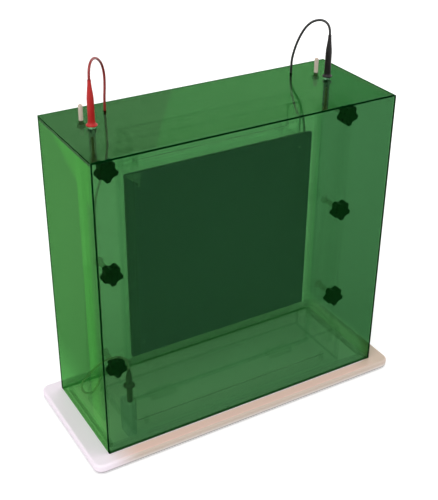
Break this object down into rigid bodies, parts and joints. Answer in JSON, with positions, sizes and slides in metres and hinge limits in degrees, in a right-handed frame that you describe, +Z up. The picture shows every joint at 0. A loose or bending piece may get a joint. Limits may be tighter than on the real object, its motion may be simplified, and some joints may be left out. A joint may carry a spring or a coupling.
{
  "type": "sequencing electrophoresis system",
  "caption": "Benchtop vertical sequencing gel rig under a tinted lift-off safety cover, with star-knob clamps, buffer chambers and plug-in leads.",
  "frame": {"origin": "centre of the footprint at the underside of the rubber feet", "axes": "+Z up, -Y towards the front where the clamps face the user, +X to the user's right"},
  "size_m": [0.56, 0.23, 0.6011],
  "materials": {
    "green_acrylic": "clear tinted, polished edges",
    "clear_acrylic": "clear, polished",
    "plate_glass": "clear float glass",
    "white_board": "fine satin",
    "dark_plate": "dark satin anodised",
    "steel": "satin",
    "platinum": "bright drawn wire",
    "contact_metal": "bright",
    "black_plastic": "fine matt moulding",
    "white_plastic": "satin moulding",
    "red_plastic": "soft matt moulding",
    "black_boot": "soft matt moulding",
    "red_cord": "limp silicone sheath",
    "black_cord": "limp silicone sheath",
    "foot_rubber": "matt",
    "pad_rubber": "clear silicone",
    "gasket_foam": "milky silicone",
    "spacer_plastic": "pale satin sheet",
    "nylon": "natural nylon"
  },
  "bodies": {
    "stand": {"base_board": "white_board", "chamber_gasket": "gasket_foam", "clamp_screws": "nylon", "cover_locating_strips": "clear_acrylic", "electrode_posts": "clear_acrylic", "front_glass": "plate_glass", "gel_rest_blocks": "clear_acrylic", "gel_spacers": "spacer_plastic", "heat_plate": "dark_plate", "heat_plate_screws": "steel", "left_side_rail": "clear_acrylic", "left_stand": "clear_acrylic", "lower_electrode_wire": "platinum", "lower_terminal_block": "clear_acrylic", "lower_tray_back": "clear_acrylic", "lower_tray_floor": "clear_acrylic", "lower_tray_front": "clear_acrylic", "lower_tray_left": "clear_acrylic", "lower_tray_right": "clear_acrylic", "rear_glass": "plate_glass", "right_side_rail": "clear_acrylic", "right_stand": "clear_acrylic", "rubber_feet": "foot_rubber", "support_plate": "clear_acrylic", "terminal_pins": "contact_metal", "upper_chamber_back": "clear_acrylic", "upper_chamber_floor": "clear_acrylic", "upper_chamber_left": "clear_acrylic", "upper_chamber_right": "clear_acrylic", "upper_electrode_wire": "platinum", "upper_terminal_block": "clear_acrylic", "upper_terminal_lead": "black_cord"},
    "cover": {"cover_front": "green_acrylic", "cover_back": "green_acrylic", "cover_left": "green_acrylic", "cover_right": "green_acrylic", "cover_top": "green_acrylic", "socket_sleeves": "clear_acrylic", "socket_pins": "contact_metal", "left_supply_post": "white_plastic", "right_supply_post": "white_plastic", "supply_post_nuts": "white_plastic", "red_loop_cord": "red_cord", "black_loop_cord": "black_cord", "red_inner_cord": "red_cord", "black_inner_cord": "black_cord", "red_inner_plug": "red_plastic", "black_inner_plug": "black_boot"},
    "red_plug": {"red_top_plug": "red_plastic"},
    "black_plug": {"black_top_plug": "black_boot"},
    "left_clamp": {"left_clamp_bar": "clear_acrylic", "left_clamp_pad": "pad_rubber"},
    "right_clamp": {"right_clamp_bar": "clear_acrylic", "right_clamp_pad": "pad_rubber"},
    "left_top_knob": {"left_top_knob": "black_plastic"},
    "left_middle_knob": {"left_middle_knob": "black_plastic"},
    "left_bottom_knob": {"left_bottom_knob": "black_plastic"},
    "right_top_knob": {"right_top_knob": "black_plastic"},
    "right_middle_knob": {"right_middle_knob": "black_plastic"},
    "right_bottom_knob": {"right_bottom_knob": "black_plastic"}
  },
  "joints": [
    {"name": "cover_lift", "type": "slide", "parent": "stand", "child": "cover", "axis": [0, 0, 1], "range_m": [0, 0.5]},
    {"name": "red_plug_pull", "type": "slide", "parent": "cover", "child": "red_plug", "axis": [0, 0, 1], "range_m": [0, 0.03], "deforming": ["red_loop_cord"]},
    {"name": "black_plug_pull", "type": "slide", "parent": "cover", "child": "black_plug", "axis": [0, 0, 1], "range_m": [0, 0.03], "deforming": ["black_loop_cord"]},
    {"name": "left_clamp_slide", "type": "slide", "parent": "stand", "child": "left_clamp", "axis": [0, -1, 0], "range_m": [0, 0.00375]},
    {"name": "left_top_knob_turn", "type": "hinge", "parent": "left_clamp", "child": "left_top_knob", "pos_m": [-0.2055, -0.036, 0.464], "axis": [0, -1, 0], "range_deg": [0, 1080]},
    {"name": "left_middle_knob_turn", "type": "hinge", "parent": "left_clamp", "child": "left_middle_knob", "pos_m": [-0.2055, -0.036, 0.297], "axis": [0, -1, 0], "range_deg": [0, 1080]},
    {"name": "left_bottom_knob_turn", "type": "hinge", "parent": "left_clamp", "child": "left_bottom_knob", "pos_m": [-0.2055, -0.036, 0.13], "axis": [0, -1, 0], "range_deg": [0, 1080]},
    {"name": "right_clamp_slide", "type": "slide", "parent": "stand", "child": "right_clamp", "axis": [0, -1, 0], "range_m": [0, 0.00375]},
    {"name": "right_top_knob_turn", "type": "hinge", "parent": "right_clamp", "child": "right_top_knob", "pos_m": [0.2055, -0.036, 0.464], "axis": [0, -1, 0], "range_deg": [0, 1080]},
    {"name": "right_middle_knob_turn", "type": "hinge", "parent": "right_clamp", "child": "right_middle_knob", "pos_m": [0.2055, -0.036, 0.297], "axis": [0, -1, 0], "range_deg": [0, 1080]},
    {"name": "right_bottom_knob_turn", "type": "hinge", "parent": "right_clamp", "child": "right_bottom_knob", "pos_m": [0.2055, -0.036, 0.13], "axis": [0, -1, 0], "range_deg": [0, 1080]}
  ],
  "couplings": [
    {"joint": "left_top_knob_turn", "follows": "left_clamp_slide", "rad_per_m": 5026.5},
    {"joint": "left_middle_knob_turn", "follows": "left_clamp_slide", "rad_per_m": 5026.5},
    {"joint": "left_bottom_knob_turn", "follows": "left_clamp_slide", "rad_per_m": 5026.5},
    {"joint": "right_top_knob_turn", "follows": "right_clamp_slide", "rad_per_m": 5026.5},
    {"joint": "right_middle_knob_turn", "follows": "right_clamp_slide", "rad_per_m": 5026.5},
    {"joint": "right_bottom_knob_turn", "follows": "right_clamp_slide", "rad_per_m": 5026.5}
  ]
}
